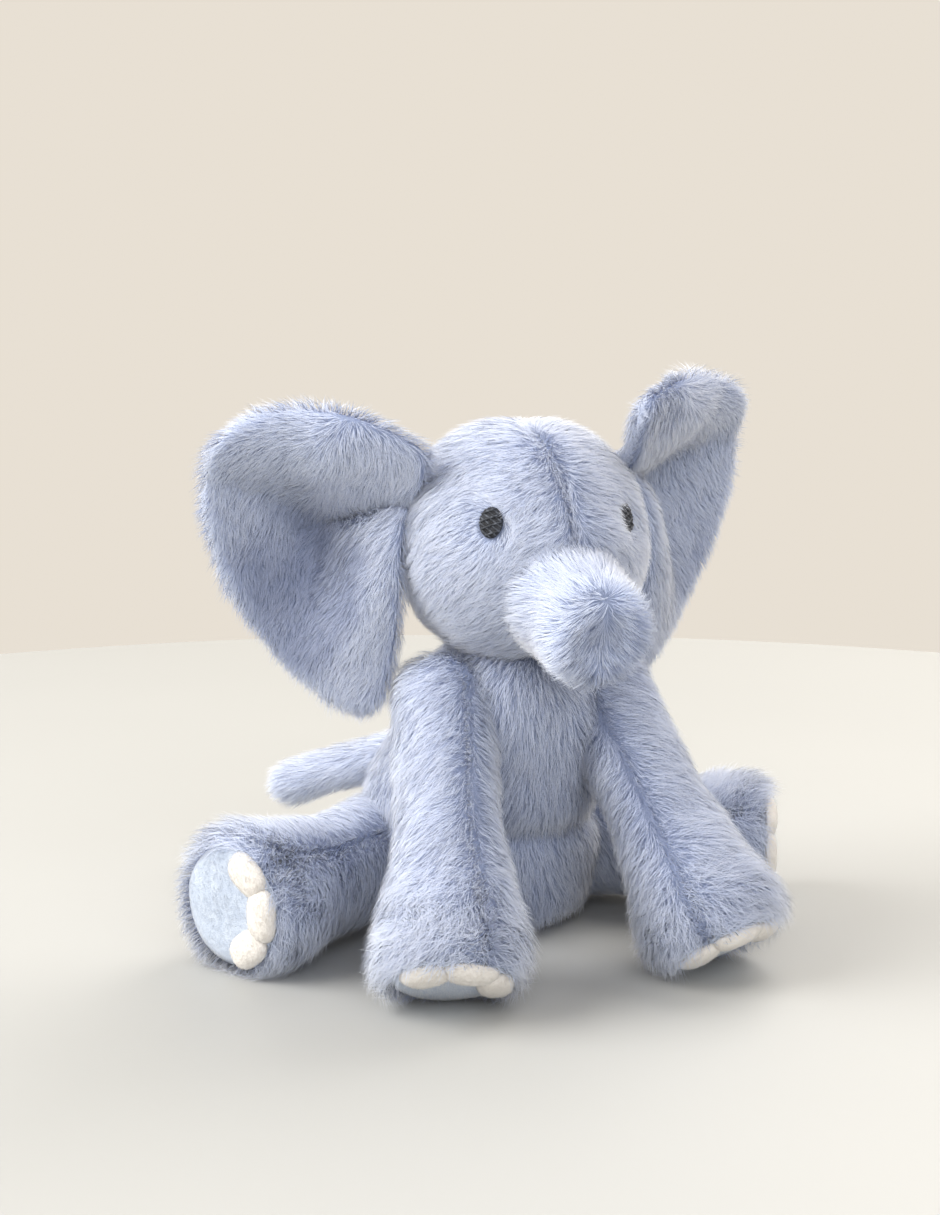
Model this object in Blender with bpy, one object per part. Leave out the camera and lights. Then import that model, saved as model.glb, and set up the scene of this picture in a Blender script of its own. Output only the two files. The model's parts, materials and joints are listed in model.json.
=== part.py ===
"""A seated plush elephant: fur-fabric shells packed with fibre, drawn as closed solids.

The toy faces -Y, its own right side is at -X, and it sits on the plane Z = 0.
Every sewn-on limb is its own solid, with a small gap to the piece it is sewn to and room to swing.
All sizes are in metres and are those of the backing cloth, under the pile.
"""

import math

import bmesh
import bpy
from mathutils import Matrix, Vector

# Gaps between pieces.
SEAM_GAP = 0.0003
SWING_GAP = 0.0012

# Torso: a sitting pear, from the flat seat up to the neck.
TORSO_HEIGHT = 0.146
TORSO_HALF_WIDTH = 0.055
TORSO_HALF_DEPTH = 0.066
TORSO_LEAN = 0.060
SEAT_BACK = 0.027

# Torso slices: share of the height, then of the half width, of the half depth and of the lean.
TORSO_SLICES = (
    (0.000, 0.80, 0.78, 0.00),
    (0.060, 0.93, 0.92, 0.00),
    (0.170, 1.00, 1.00, 0.03),
    (0.300, 1.00, 0.99, 0.14),
    (0.430, 0.97, 0.96, 0.30),
    (0.560, 0.90, 0.87, 0.50),
    (0.690, 0.80, 0.74, 0.74),
    (0.800, 0.70, 0.62, 0.91),
    (0.900, 0.58, 0.51, 0.98),
    (0.970, 0.46, 0.40, 1.00),
    (1.000, 0.30, 0.26, 1.00),
)

# Head: a ball, a little wider at the cheeks than it is high.
HEAD_CENTRE = Vector((0.0, -0.041, 0.192))
HEAD_HALF_WIDTH = 0.0550
HEAD_HALF_DEPTH = 0.0540
HEAD_HALF_HEIGHT = 0.0535

# Trunk: a short soft snout that starts inside the face and points forward and down.
TRUNK_ROOT = Vector((0.0, -0.026, -0.014))
TRUNK_LENGTH = 0.060
TRUNK_DIP = math.radians(19.0)
TRUNK_BALL = 0.0265
TRUNK_END_RADIUS = 0.0190
TRUNK_SWING = math.radians(12.0)
TIP_RADIUS = 0.0155
TIP_THICKNESS = 0.0030

# Eyes: flat stitched ovals on the face.
EYE_TURN = math.radians(38.0)
EYE_RISE = math.radians(13.0)
EYE_HALF_WIDTH = 0.0050
EYE_HALF_HEIGHT = 0.0068
EYE_THICKNESS = 0.0016

# Ears: two layers of cloth with thin wadding, cupped, hung from the sides of the head.
EAR_THICKNESS = 0.0060
EAR_OUTLINE = (
    (0.003, 0.036),
    (0.012, 0.050),
    (0.034, 0.0585),
    (0.060, 0.0575),
    (0.080, 0.047),
    (0.089, 0.026),
    (0.086, -0.002),
    (0.074, -0.030),
    (0.054, -0.055),
    (0.032, -0.072),
    (0.018, -0.077),
    (0.010, -0.066),
    (0.005, -0.045),
    (0.003, -0.010),
)
EAR_MIDDLE = Vector((0.044, 0.004))
EAR_CUP = 0.017
EAR_CURL = 0.010
EAR_SWEEP = {"right": math.radians(31.0), "left": math.radians(37.0)}
EAR_ROOT_TURN = math.radians(4.0)
EAR_RAISE = {"right": math.radians(0.0), "left": math.radians(3.0)}
EAR_LIFT = {"right": 0.000, "left": 0.012}

# Front legs: straight tubes from the shoulders to the ground, a little apart and forward.
SHOULDER = Vector((0.039, -0.043, 0.120))
FRONT_SOLE = Vector((0.0655, -0.119, 0.0140))
FRONT_SHOULDER_RADIUS = 0.0205
FRONT_SHAFT_RADIUS = 0.0200
FRONT_FOOT_RADIUS = 0.0280
FRONT_SWING_BACK = math.radians(8.0)
FRONT_SWING_FORWARD = math.radians(42.0)

# Hind legs: they lie on the ground, out to the sides and forward.
HIP = Vector((0.046, 0.020, 0.0315))
HIND_SOLE = Vector((0.139, -0.034, 0.0315))
HIND_HIP_RADIUS = 0.0270
HIND_SHAFT_RADIUS = 0.0245
HIND_FOOT_RADIUS = 0.0310
HIND_SPLAY = math.radians(12.0)

# Feet: a round pad of short plush closes each leg, and three stuffed nails sit on its toe side.
PAD_THICKNESS = 0.0026
PAD_INSET = 0.0030
NAIL_HALF_LENGTH = (0.0080, 0.0098, 0.0080)
NAIL_HALF_WIDTH = 0.0062
NAIL_THICKNESS = 0.0042
NAIL_SPACE = 0.0024

# Tail: a short stuffed tube from the rump, swung to the toy's right. It starts clear of the back.
TAIL_SIDE = -0.004
TAIL_HEIGHT = 0.074
TAIL_CLEAR = 0.0017
TAIL_LENGTH = 0.098
TAIL_RADIUS = 0.0080
TAIL_DROP = math.radians(19.0)
TAIL_TURN = math.radians(42.0)

ROUND_SIDES = 22
NAIL_SIDES = 14
EYE_SIDES = 18
ROOM_SIDES = 14
ROOM_FLATNESS = math.radians(1.0)
SIDES = {"right": -1.0, "left": 1.0}

FUR_COLOUR = (0.50, 0.56, 0.68, 1.0)
PAD_COLOUR = (0.56, 0.64, 0.74, 1.0)
NAIL_COLOUR = (0.84, 0.82, 0.81, 1.0)
THREAD_COLOUR = (0.025, 0.03, 0.04, 1.0)


def plain_material(name, colour, roughness):
    """A Principled material with one colour."""
    material = bpy.data.materials.new(name)
    material.use_nodes = True
    shader = material.node_tree.nodes["Principled BSDF"]
    shader.inputs["Base Color"].default_value = colour
    shader.inputs["Roughness"].default_value = roughness
    shader.inputs["Metallic"].default_value = 0.0
    return material


def finish(name, bm, material, parent=None, origin=None):
    """Turn a bmesh into a smooth object whose origin, if given, lies on its joint's axis."""
    bmesh.ops.recalc_face_normals(bm, faces=bm.faces[:])
    origin = origin or Vector((0.0, 0.0, 0.0))
    bmesh.ops.translate(bm, vec=-origin, verts=bm.verts[:])
    mesh = bpy.data.meshes.new(name)
    bm.to_mesh(mesh)
    bm.free()
    mesh.shade_smooth()
    piece = bpy.data.objects.new(name, mesh)
    piece.location = origin
    bpy.context.scene.collection.objects.link(piece)
    mesh.materials.append(material)
    if parent is not None:
        piece.parent = parent
        piece.matrix_parent_inverse = parent.matrix_world.inverted()
    return piece


def joint_empty(name, place, parent=None):
    """An empty that marks a joint's axis and carries what turns about it."""
    empty = bpy.data.objects.new(name, None)
    empty.location = place
    empty.empty_display_size = 0.01
    bpy.context.scene.collection.objects.link(empty)
    bpy.context.view_layer.update()
    if parent is not None:
        empty.parent = parent
        empty.matrix_parent_inverse = parent.matrix_world.inverted()
        bpy.context.view_layer.update()
    return empty


def turned(profile, placement, sides=ROUND_SIDES):
    """A closed round body: (radius, height) points from pole to pole, spun about the local Z axis."""
    bm = bmesh.new()
    points = [bm.verts.new((radius, 0.0, height)) for radius, height in profile]
    edges = [bm.edges.new(pair) for pair in zip(points, points[1:])]
    bmesh.ops.spin(
        bm,
        geom=points + edges,
        cent=(0.0, 0.0, 0.0),
        axis=(0.0, 0.0, 1.0),
        angle=2.0 * math.pi,
        steps=sides,
        use_merge=True,
    )
    bmesh.ops.remove_doubles(bm, verts=bm.verts[:], dist=0.00001)
    bmesh.ops.transform(bm, matrix=placement, verts=bm.verts[:])
    return bm


def facing(direction, toes):
    """A rotation whose +Z is the direction, and whose +X is the toes' direction laid square to it."""
    z_axis = direction.normalized()
    x_axis = (toes - z_axis * toes.dot(z_axis)).normalized()
    y_axis = z_axis.cross(x_axis)
    return Matrix((x_axis, y_axis, z_axis)).transposed().to_4x4()


def eased(t):
    """0 to 1 with a soft start and a soft end."""
    return t * t * (3.0 - 2.0 * t)


def mirrored(place, side):
    """A place on the toy's left, moved to the named side."""
    return Vector((place.x * SIDES[side], place.y, place.z))


def carve(piece, cutter_bm, name):
    """Cut a cutter's shape out of a piece, keeping the cutter as a wire guide."""
    cutter = finish(name, cutter_bm, piece.data.materials[0])
    cutter.hide_render = True
    cutter.display_type = "WIRE"
    cut = piece.modifiers.new(name, "BOOLEAN")
    cut.operation = "DIFFERENCE"
    cut.object = cutter
    cut.solver = "EXACT"
    return cutter


def room_to_turn(bodies):
    """One convex hollow round a piece in each of its given positions."""
    room = bmesh.new()
    for body in bodies:
        places = [vert.co.copy() for vert in body.verts]
        body.free()
        for place in places:
            room.verts.new(place)
    made = bmesh.ops.convex_hull(room, input=room.verts[:])
    spare = {item for key in ("geom_interior", "geom_unused") for item in made[key]}
    bmesh.ops.delete(
        room, geom=[item for item in spare if isinstance(item, bmesh.types.BMVert)], context="VERTS"
    )
    bmesh.ops.dissolve_limit(
        room, angle_limit=ROOM_FLATNESS, verts=room.verts[:], edges=room.edges[:]
    )
    bmesh.ops.triangulate(room, faces=room.faces[:])
    return room


def head_ball(gap=0.0):
    """The stuffed head, or the room that it needs with a gap all round."""
    bm = bmesh.new()
    bmesh.ops.create_uvsphere(bm, u_segments=30, v_segments=18, radius=1.0)
    size = Matrix.Diagonal(
        (HEAD_HALF_WIDTH + gap, HEAD_HALF_DEPTH + gap, HEAD_HALF_HEIGHT + gap, 1.0)
    )
    bmesh.ops.transform(bm, matrix=Matrix.Translation(HEAD_CENTRE) @ size, verts=bm.verts[:])
    return bm


def leg_profile(length, ball, shaft, foot, gap=0.0):
    """A leg's outline: a ball at the joint, an even shaft, and a foot that widens to a flat end."""
    dome_steps = 7
    profile = []
    for step in range(dome_steps):
        angle = 0.5 * math.pi * step / dome_steps
        profile.append(((ball + gap) * math.sin(angle), -(ball + gap) * math.cos(angle)))
    shaft_steps = 8
    foot_start = 0.45
    for step in range(shaft_steps + 1):
        along = step / shaft_steps
        swell = eased(max(0.0, (along - foot_start) / (1.0 - foot_start)))
        root = 1.0 - eased(min(1.0, along / foot_start))
        radius = shaft + (foot - shaft) * swell + (ball - shaft) * root
        profile.append((radius + gap, along * (length - 0.35 * foot)))
    profile.append((foot * 0.97 + gap, length - 0.12 * foot))
    profile.append((foot * 0.90 + gap, length + gap))
    profile.append((0.0, length + gap))
    return profile


def leg_body(joint, sole, radii, gap=0.0, swing=None, sides=ROUND_SIDES):
    """A leg from its joint to its sole, with an optional turn about the joint."""
    direction = sole - joint
    profile = leg_profile(direction.length - PAD_THICKNESS - SEAM_GAP, *radii, gap=gap)
    placement = facing(direction, Vector((0.0, -1.0, 0.0)))
    if swing is not None:
        placement = swing @ placement
    return turned(profile, Matrix.Translation(joint) @ placement, sides)


def pad(joint, sole, foot, material, name, parent):
    """The round plush pad that closes a leg's end."""
    radius = foot * 0.90
    profile = [
        (0.0, 0.0),
        (radius - 0.4 * PAD_INSET, 0.0),
        (radius, 0.4 * PAD_THICKNESS),
        (radius - PAD_INSET * 0.5, PAD_THICKNESS * 0.85),
        (radius - PAD_INSET, PAD_THICKNESS),
        (0.0, PAD_THICKNESS),
    ]
    direction = (sole - joint).normalized()
    start = sole - direction * PAD_THICKNESS
    placement = Matrix.Translation(start) @ facing(direction, Vector((0.0, -1.0, 0.0)))
    finish(name, turned(profile, placement), material, parent, joint)


def nail(joint, sole, foot, number, material, name, parent):
    """One stuffed nail: half a long ball, flat against the pad, near the pad's toe edge."""
    rim = foot * 0.90 - NAIL_HALF_WIDTH
    middle = 1
    step = NAIL_HALF_LENGTH[middle] + NAIL_HALF_LENGTH[number] + NAIL_SPACE
    angle = (middle - number) * step / rim
    dome_steps = 5
    profile = [(0.0, 0.0)]
    for step in range(dome_steps):
        turn = 0.5 * math.pi * step / dome_steps
        profile.append((math.cos(turn), math.sin(turn)))
    profile.append((0.0, 1.0))
    size = Matrix.Diagonal((NAIL_HALF_WIDTH, NAIL_HALF_LENGTH[number], NAIL_THICKNESS, 1.0))
    direction = (sole - joint).normalized()
    placement = (
        Matrix.Translation(sole + direction * SEAM_GAP)
        @ facing(direction, Vector((0.0, -1.0, 0.0)))
        @ Matrix.Rotation(angle, 4, "Z")
        @ Matrix.Translation((rim, 0.0, 0.0))
        @ size
    )
    finish(name, turned(profile, placement, NAIL_SIDES), material, parent, joint)


def leg(kind, side, joint, sole, radii, materials):
    """A leg with its pad and its three nails, all on one joint."""
    joint = mirrored(joint, side)
    sole = mirrored(sole, side)
    name = f"{kind}_leg_{side}"
    pivot = joint_empty(f"{name}_joint", joint)
    finish(name, leg_body(joint, sole, radii), materials["fur"], pivot, joint)
    pad(joint, sole, radii[2], materials["pad"], f"{kind}_foot_pad_{side}", pivot)
    for number, place in enumerate(("inner", "middle", "outer")):
        nail(joint, sole, radii[2], number, materials["nail"], f"{kind}_nail_{place}_{side}", pivot)


def torso_body():
    """Level slices from the seat to the neck: broad and set back below, narrow and forward above."""
    bm = bmesh.new()
    rings = []
    for height, width, depth, lean in TORSO_SLICES:
        centre = Vector((0.0, SEAT_BACK - TORSO_LEAN * lean, height * TORSO_HEIGHT))
        size = Matrix.Diagonal((width * TORSO_HALF_WIDTH, depth * TORSO_HALF_DEPTH, 1.0, 1.0))
        made = bmesh.ops.create_circle(
            bm, cap_ends=False, radius=1.0, segments=32, matrix=Matrix.Translation(centre) @ size
        )
        rings.append({edge for vert in made["verts"] for edge in vert.link_edges})
    for lower, upper in zip(rings, rings[1:]):
        bmesh.ops.bridge_loops(bm, edges=list(lower | upper))
    bmesh.ops.holes_fill(bm, edges=bm.edges[:], sides=0)
    return bm


def torso_back(height):
    """How far back the torso reaches at a height."""
    share = height / TORSO_HEIGHT
    for lower, upper in zip(TORSO_SLICES, TORSO_SLICES[1:]):
        if lower[0] <= share <= upper[0]:
            along = (share - lower[0]) / (upper[0] - lower[0])
            depth = lower[2] + (upper[2] - lower[2]) * along
            lean = lower[3] + (upper[3] - lower[3]) * along
            return SEAT_BACK - TORSO_LEAN * lean + TORSO_HALF_DEPTH * depth
    return SEAT_BACK


def make_torso(materials):
    """The torso, with hollows where the head and the legs are sewn on and turn."""
    torso = finish("torso", torso_body(), materials["fur"])
    carve(torso, head_ball(SWING_GAP), "neck_hollow")
    front_radii = (FRONT_SHOULDER_RADIUS, FRONT_SHAFT_RADIUS, FRONT_FOOT_RADIUS)
    hind_radii = (HIND_HIP_RADIUS, HIND_SHAFT_RADIUS, HIND_FOOT_RADIUS)
    front_angles = (FRONT_SWING_BACK, 0.0, -0.5 * FRONT_SWING_FORWARD, -FRONT_SWING_FORWARD)
    front_swings = [Matrix.Rotation(angle, 4, "X") for angle in front_angles]
    hind_swings = [Matrix.Rotation(turn * HIND_SPLAY, 4, "Z") for turn in (-1, 0, 1)]
    for side in SIDES:
        for kind, joint, sole, radii, swings in (
            ("shoulder", SHOULDER, FRONT_SOLE, front_radii, front_swings),
            ("hip", HIP, HIND_SOLE, hind_radii, hind_swings),
        ):
            places = (mirrored(joint, side), mirrored(sole, side), radii, SWING_GAP)
            rooms = [leg_body(*places, swing, ROOM_SIDES) for swing in swings]
            carve(torso, room_to_turn(rooms), f"{kind}_hollow_{side}")
    return torso


def trunk_direction(extra=0.0):
    """Forward and down, with an extra dip."""
    dip = TRUNK_DIP + extra
    return Vector((0.0, -math.cos(dip), -math.sin(dip)))


def trunk_body(gap=0.0, extra=0.0, sides=ROUND_SIDES):
    """The snout: a ball inside the face, drawn out to a rounded blunt end."""
    steps = 7
    profile = []
    for step in range(steps):
        angle = 0.5 * math.pi * step / steps
        profile.append(
            ((TRUNK_BALL + gap) * math.sin(angle), -(TRUNK_BALL + gap) * math.cos(angle))
        )
    straight = TRUNK_LENGTH - 0.45 * TRUNK_END_RADIUS
    for step in range(steps):
        along = step / (steps - 1)
        radius = TRUNK_BALL + (TRUNK_END_RADIUS * 1.04 - TRUNK_BALL) * eased(along)
        profile.append((radius + gap, along * straight))
    profile.append((TRUNK_END_RADIUS * 0.98 + gap, TRUNK_LENGTH - 0.22 * TRUNK_END_RADIUS))
    profile.append((TIP_RADIUS + gap, TRUNK_LENGTH + gap))
    profile.append((0.0, TRUNK_LENGTH + gap))
    place = Matrix.Translation(HEAD_CENTRE + TRUNK_ROOT)
    placement = place @ facing(trunk_direction(extra), Vector((0.0, 0.0, 1.0)))
    return turned(profile, placement, sides)


def make_head(materials):
    """The head with the hollow that the trunk turns in, its eyes, its trunk and the trunk's end."""
    neck = joint_empty("neck_joint", HEAD_CENTRE)
    head = finish("head", head_ball(), materials["fur"], neck, HEAD_CENTRE)
    dips = (-TRUNK_SWING, 0.0, TRUNK_SWING)
    rooms = [trunk_body(SWING_GAP, extra, ROOM_SIDES) for extra in dips]
    carve(head, room_to_turn(rooms), "trunk_hollow")
    root = HEAD_CENTRE + TRUNK_ROOT
    pivot = joint_empty("trunk_joint", root, neck)
    finish("trunk", trunk_body(), materials["fur"], pivot, root)
    direction = trunk_direction()
    profile = [
        (0.0, 0.0),
        (TIP_RADIUS - 0.0006, 0.0),
        (TIP_RADIUS, 0.35 * TIP_THICKNESS),
        (TIP_RADIUS * 0.88, 0.80 * TIP_THICKNESS),
        (TIP_RADIUS * 0.55, TIP_THICKNESS),
        (0.0, TIP_THICKNESS),
    ]
    start = root + direction * (TRUNK_LENGTH + SEAM_GAP)
    placement = Matrix.Translation(start) @ facing(direction, Vector((0.0, 0.0, 1.0)))
    finish("trunk_end", turned(profile, placement), materials["fur"], pivot, root)
    for side, sign in SIDES.items():
        out = Vector(
            (
                sign * math.sin(EYE_TURN) * math.cos(EYE_RISE),
                -math.cos(EYE_TURN) * math.cos(EYE_RISE),
                math.sin(EYE_RISE),
            )
        )
        reach = 1.0 / math.sqrt(
            (out.x / HEAD_HALF_WIDTH) ** 2
            + (out.y / HEAD_HALF_DEPTH) ** 2
            + (out.z / HEAD_HALF_HEIGHT) ** 2
        )
        surface = out * reach
        normal = Vector(
            (
                surface.x / HEAD_HALF_WIDTH**2,
                surface.y / HEAD_HALF_DEPTH**2,
                surface.z / HEAD_HALF_HEIGHT**2,
            )
        ).normalized()
        oval = [
            (0.0, 0.0),
            (0.92, 0.0),
            (1.0, 0.35),
            (0.88, 0.75),
            (0.55, 1.0),
            (0.0, 1.0),
        ]
        size = Matrix.Diagonal((EYE_HALF_HEIGHT, EYE_HALF_WIDTH, EYE_THICKNESS, 1.0))
        place = Matrix.Translation(HEAD_CENTRE + surface + normal * SEAM_GAP)
        placement = place @ facing(normal, Vector((0.0, 0.0, 1.0))) @ size
        finish(f"eye_{side}", turned(oval, placement, EYE_SIDES), materials["thread"], neck, HEAD_CENTRE)
    return neck


def smooth_outline(points, count):
    """Points evenly stepped along a closed smooth curve through the given ones."""
    total = len(points)
    outline = []
    for step in range(count):
        place = step * total / count
        first = int(place)
        t = place - first
        a, b, c, d = (Vector(points[(first + offset) % total]) for offset in (-1, 0, 1, 2))
        outline.append(
            0.5
            * (
                2.0 * b
                + (c - a) * t
                + (2.0 * a - 5.0 * b + 4.0 * c - d) * t * t
                + (3.0 * b - a - 3.0 * c + d) * t * t * t
            )
        )
    return outline


def ear_depth(reach, height):
    """How far the ear stands forward of its flat pattern: hollow inside, curled at the top and rim."""
    share = reach / EAR_MIDDLE.x * 0.5
    hollow = math.sin(math.pi * min(1.0, share)) * 0.45
    curl = eased(min(1.0, max(0.0, (height - 0.030) / 0.030)))
    return EAR_CUP * (hollow - share * share) - EAR_CURL * curl


def ear_sheet(side):
    """The cupped ear as one wadded sheet, in the frame of its hinge line."""
    outline = smooth_outline(EAR_OUTLINE, 42)
    bm = bmesh.new()
    rings = []
    for share in (1.0, 0.88, 0.74, 0.58, 0.40, 0.20):
        made = bmesh.ops.create_circle(bm, cap_ends=False, radius=1.0, segments=len(outline))
        for vert, edge_place in zip(made["verts"], outline):
            place = EAR_MIDDLE + (edge_place - EAR_MIDDLE) * share
            depth = ear_depth(place.x, place.y)
            vert.co = Vector((SIDES[side] * place.x, depth, place.y))
        rings.append({edge for vert in made["verts"] for edge in vert.link_edges})
    for outer, inner in zip(rings, rings[1:]):
        bmesh.ops.bridge_loops(bm, edges=list(outer | inner))
    bmesh.ops.contextual_create(bm, geom=list(rings[-1]))
    bmesh.ops.triangulate(bm, faces=[face for face in bm.faces if len(face.verts) > 4])
    bmesh.ops.recalc_face_normals(bm, faces=bm.faces[:])
    bmesh.ops.solidify(bm, geom=bm.faces[:], thickness=EAR_THICKNESS)
    return bm


def make_ear(side, materials, neck):
    """An ear on its hinge line down the side of the head."""
    sign = SIDES[side]
    root = HEAD_CENTRE + Vector(
        (
            sign * HEAD_HALF_WIDTH * math.cos(EAR_ROOT_TURN),
            HEAD_HALF_DEPTH * math.sin(EAR_ROOT_TURN),
            EAR_LIFT[side],
        )
    )
    pivot = joint_empty(f"ear_{side}_joint", root, neck)
    bm = ear_sheet(side)
    placement = (
        Matrix.Translation(root)
        @ Matrix.Rotation(sign * EAR_SWEEP[side], 4, "Z")
        @ Matrix.Rotation(-sign * EAR_RAISE[side], 4, "Y")
    )
    bmesh.ops.transform(bm, matrix=placement, verts=bm.verts[:])
    finish(f"ear_{side}", bm, materials["fur"], pivot, root)


def make_tail(materials):
    """The tail: a short tube with rounded ends that starts just clear of the rump."""
    steps = 6
    profile = []
    for step in range(steps):
        angle = 0.5 * math.pi * step / steps
        profile.append((TAIL_RADIUS * math.sin(angle), TAIL_RADIUS * (1.0 - math.cos(angle))))
    for step in range(steps + 1):
        angle = 0.5 * math.pi * step / steps
        radius = TAIL_RADIUS * 1.12
        profile.append((radius * math.cos(angle), TAIL_LENGTH - radius * (1.0 - math.sin(angle))))
    direction = Vector(
        (
            -math.sin(TAIL_TURN) * math.cos(TAIL_DROP),
            math.cos(TAIL_TURN) * math.cos(TAIL_DROP),
            -math.sin(TAIL_DROP),
        )
    )
    back = torso_back(TAIL_HEIGHT - TAIL_RADIUS) + TAIL_CLEAR
    root = Vector((TAIL_SIDE, back, TAIL_HEIGHT))
    pivot = joint_empty("tail_joint", root)
    placement = Matrix.Translation(root) @ facing(direction, Vector((0.0, 0.0, 1.0)))
    profile[0] = (0.0, 0.0)
    profile[-1] = (0.0, TAIL_LENGTH)
    finish("tail", turned(profile, placement, NAIL_SIDES), materials["fur"], pivot, root)


def centre_on_base():
    """Move the whole toy so that the middle of its box stands over the origin."""
    bpy.context.view_layer.update()
    graph = bpy.context.evaluated_depsgraph_get()
    corners = []
    for piece in bpy.data.objects:
        if piece.type == "MESH" and not piece.hide_render:
            done = piece.evaluated_get(graph)
            corners += [piece.matrix_world @ vert.co for vert in done.data.vertices]
    low = Vector([min(corner[axis] for corner in corners) for axis in range(3)])
    high = Vector([max(corner[axis] for corner in corners) for axis in range(3)])
    shift = Vector((-0.5 * (low.x + high.x), -0.5 * (low.y + high.y), -low.z))
    for piece in bpy.data.objects:
        if piece.parent is None:
            piece.location += shift
    bpy.context.view_layer.update()


def main():
    for old in list(bpy.data.objects):
        bpy.data.objects.remove(old, do_unlink=True)
    materials = {
        "fur": plain_material("long_pile_fur", FUR_COLOUR, 0.9),
        "pad": plain_material("short_plush", PAD_COLOUR, 0.95),
        "nail": plain_material("white_plush", NAIL_COLOUR, 0.95),
        "thread": plain_material("embroidery_thread", THREAD_COLOUR, 0.6),
    }
    make_torso(materials)
    neck = make_head(materials)
    for side in SIDES:
        make_ear(side, materials, neck)
        front_radii = (FRONT_SHOULDER_RADIUS, FRONT_SHAFT_RADIUS, FRONT_FOOT_RADIUS)
        hind_radii = (HIND_HIP_RADIUS, HIND_SHAFT_RADIUS, HIND_FOOT_RADIUS)
        leg("front", side, SHOULDER, FRONT_SOLE, front_radii, materials)
        leg("hind", side, HIP, HIND_SOLE, hind_radii, materials)
    make_tail(materials)
    centre_on_base()


main()
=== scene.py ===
import json
import math

import bmesh
import bpy
import numpy as np
from mathutils import Matrix, Vector, kdtree


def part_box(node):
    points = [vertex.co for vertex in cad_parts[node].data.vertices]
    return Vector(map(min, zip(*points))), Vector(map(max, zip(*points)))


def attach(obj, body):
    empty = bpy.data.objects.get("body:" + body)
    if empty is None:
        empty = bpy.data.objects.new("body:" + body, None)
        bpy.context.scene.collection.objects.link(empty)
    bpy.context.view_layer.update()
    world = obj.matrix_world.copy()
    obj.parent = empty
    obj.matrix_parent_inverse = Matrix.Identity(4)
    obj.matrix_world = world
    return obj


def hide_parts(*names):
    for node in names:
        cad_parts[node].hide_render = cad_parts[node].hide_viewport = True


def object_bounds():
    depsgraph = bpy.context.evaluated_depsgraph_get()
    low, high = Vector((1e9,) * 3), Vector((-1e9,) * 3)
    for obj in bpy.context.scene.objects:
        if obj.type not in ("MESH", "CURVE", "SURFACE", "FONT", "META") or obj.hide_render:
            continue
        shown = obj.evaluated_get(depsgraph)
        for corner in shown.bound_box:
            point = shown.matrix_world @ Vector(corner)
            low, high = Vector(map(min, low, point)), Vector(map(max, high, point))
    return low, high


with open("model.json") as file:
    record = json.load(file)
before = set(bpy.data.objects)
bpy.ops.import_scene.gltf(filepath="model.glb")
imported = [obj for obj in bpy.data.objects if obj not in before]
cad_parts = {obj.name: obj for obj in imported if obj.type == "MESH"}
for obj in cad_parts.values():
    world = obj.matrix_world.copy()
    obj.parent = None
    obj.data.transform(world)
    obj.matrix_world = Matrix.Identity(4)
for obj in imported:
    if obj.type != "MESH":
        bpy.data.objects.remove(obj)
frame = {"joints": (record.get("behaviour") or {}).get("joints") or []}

cad_low, cad_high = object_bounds()
joints = [joint for joint in frame["joints"] if "pos_m" in joint]
joint_places = {joint["name"]: Vector(joint["pos_m"]) for joint in joints}

# ---------------------------------------------------------------------------------------------
# Studio: a round pale table top, a soft window light from the toy's right, and the camera.
# The table is painted board with a faint uneven sheen. The camera looks a little down.
# ---------------------------------------------------------------------------------------------
TABLE_RADIUS = 0.92
TABLE_COLOUR = "B9BAB8"
TABLE_SHADE = "B5B6B4"
WALL_COLOUR = "E4DCD0"
ROOM_BRIGHT = 1.04
ROOM_DIM = 0.60
CAMERA_SIDE = -0.320
CAMERA_FRONT = -0.771
CAMERA_HEIGHT = 0.270
CAMERA_TURN = math.radians(22.0)
CAMERA_DIP = math.radians(7.85)
CAMERA_LENS_MM = 51.4
# name, place from the toy's middle, width and height, watts, colour
LIGHTS = (
    ("window", (-2.1, 0.30, 1.45), (1.9, 1.9), 86.0, "FFFDFA"),
    ("wall_bounce", (1.5, 0.7, 1.7), (1.8, 1.8), 46.0, "FFFAF4"),
    ("front_fill", (-0.10, -1.50, 0.80), (1.6, 1.2), 12.0, "F4F7FF"),
)


def linear(hex_colour):
    """An sRGB hex colour as linear RGBA."""
    channels = [int(hex_colour[place : place + 2], 16) / 255.0 for place in (0, 2, 4)]
    return (
        *[c / 12.92 if c <= 0.04045 else ((c + 0.055) / 1.055) ** 2.4 for c in channels],
        1.0,
    )


def add_node(tree, kind, settings=(), links=(), **properties):
    """Add a node, set its properties and sockets, and link sockets from earlier nodes."""
    node = tree.nodes.new(kind)
    for key, value in properties.items():
        setattr(node, key, value)
    for key, value in dict(settings).items():
        node.inputs[key].default_value = value
    for key, source in dict(links).items():
        tree.links.new(source, node.inputs[key])
    return node


def new_material(name, roughness, **sockets):
    """A Principled material, its node tree and its shader."""
    material = bpy.data.materials.new(name)
    material.use_nodes = True
    tree = material.node_tree
    shader = tree.nodes["Principled BSDF"]
    shader.inputs["Roughness"].default_value = roughness
    for key, value in sockets.items():
        shader.inputs[key.replace("_", " ")].default_value = value
    return material, tree, shader


def mottled(tree, shader, scale, detail, dark, light, start=0.0, end=1.0):
    """Colour a material unevenly between two tones by noise on its own coordinates."""
    place = add_node(tree, "ShaderNodeTexCoord").outputs["Object"]
    sizes = {"Scale": scale, "Detail": detail}
    noise = add_node(tree, "ShaderNodeTexNoise", sizes, {"Vector": place})
    ramp = add_node(tree, "ShaderNodeValToRGB", links={"Fac": noise.outputs["Fac"]})
    for stop, place_on_ramp, colour in zip(ramp.color_ramp.elements, (start, end), (dark, light)):
        stop.position = place_on_ramp
        stop.color = linear(colour)
    tree.links.new(ramp.outputs["Color"], shader.inputs["Base Color"])
    return noise


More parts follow.
